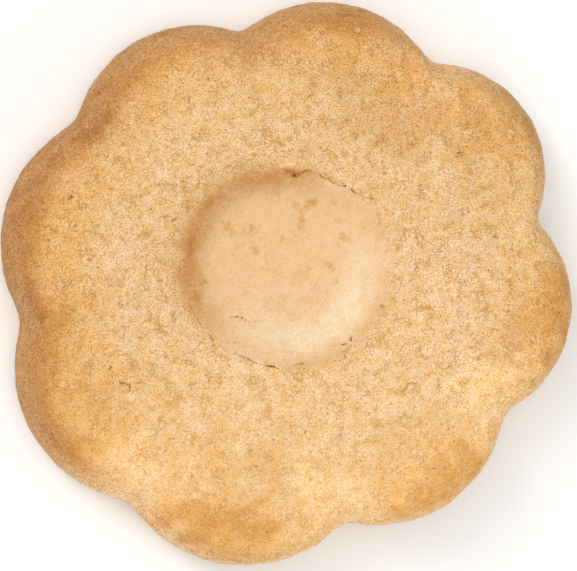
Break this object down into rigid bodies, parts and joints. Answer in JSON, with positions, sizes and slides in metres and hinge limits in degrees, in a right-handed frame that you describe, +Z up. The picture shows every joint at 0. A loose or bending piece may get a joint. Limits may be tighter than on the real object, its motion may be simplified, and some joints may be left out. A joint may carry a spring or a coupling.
{
  "type": "flower-shaped shortbread cookie",
  "caption": "Baked shortbread cookie in the shape of a flower, with round petals, browned edges and a smooth shallow well pressed into the middle.",
  "frame": {"origin": "middle of the flower's outline, on the flat underside", "axes": "+Z up through the cookie's thickness, from the flat underside to the top; +X and +Y across the flower"},
  "size_m": [0.0632, 0.0616, 0.0121],
  "materials": {
    "baked_shortbread": "pale golden baked dough with a fine sandy crumb, browner at the petals and sides, smooth in the pressed well"
  },
  "bodies": {
    "root": {"cookie": "baked_shortbread"}
  },
  "joints": []
}
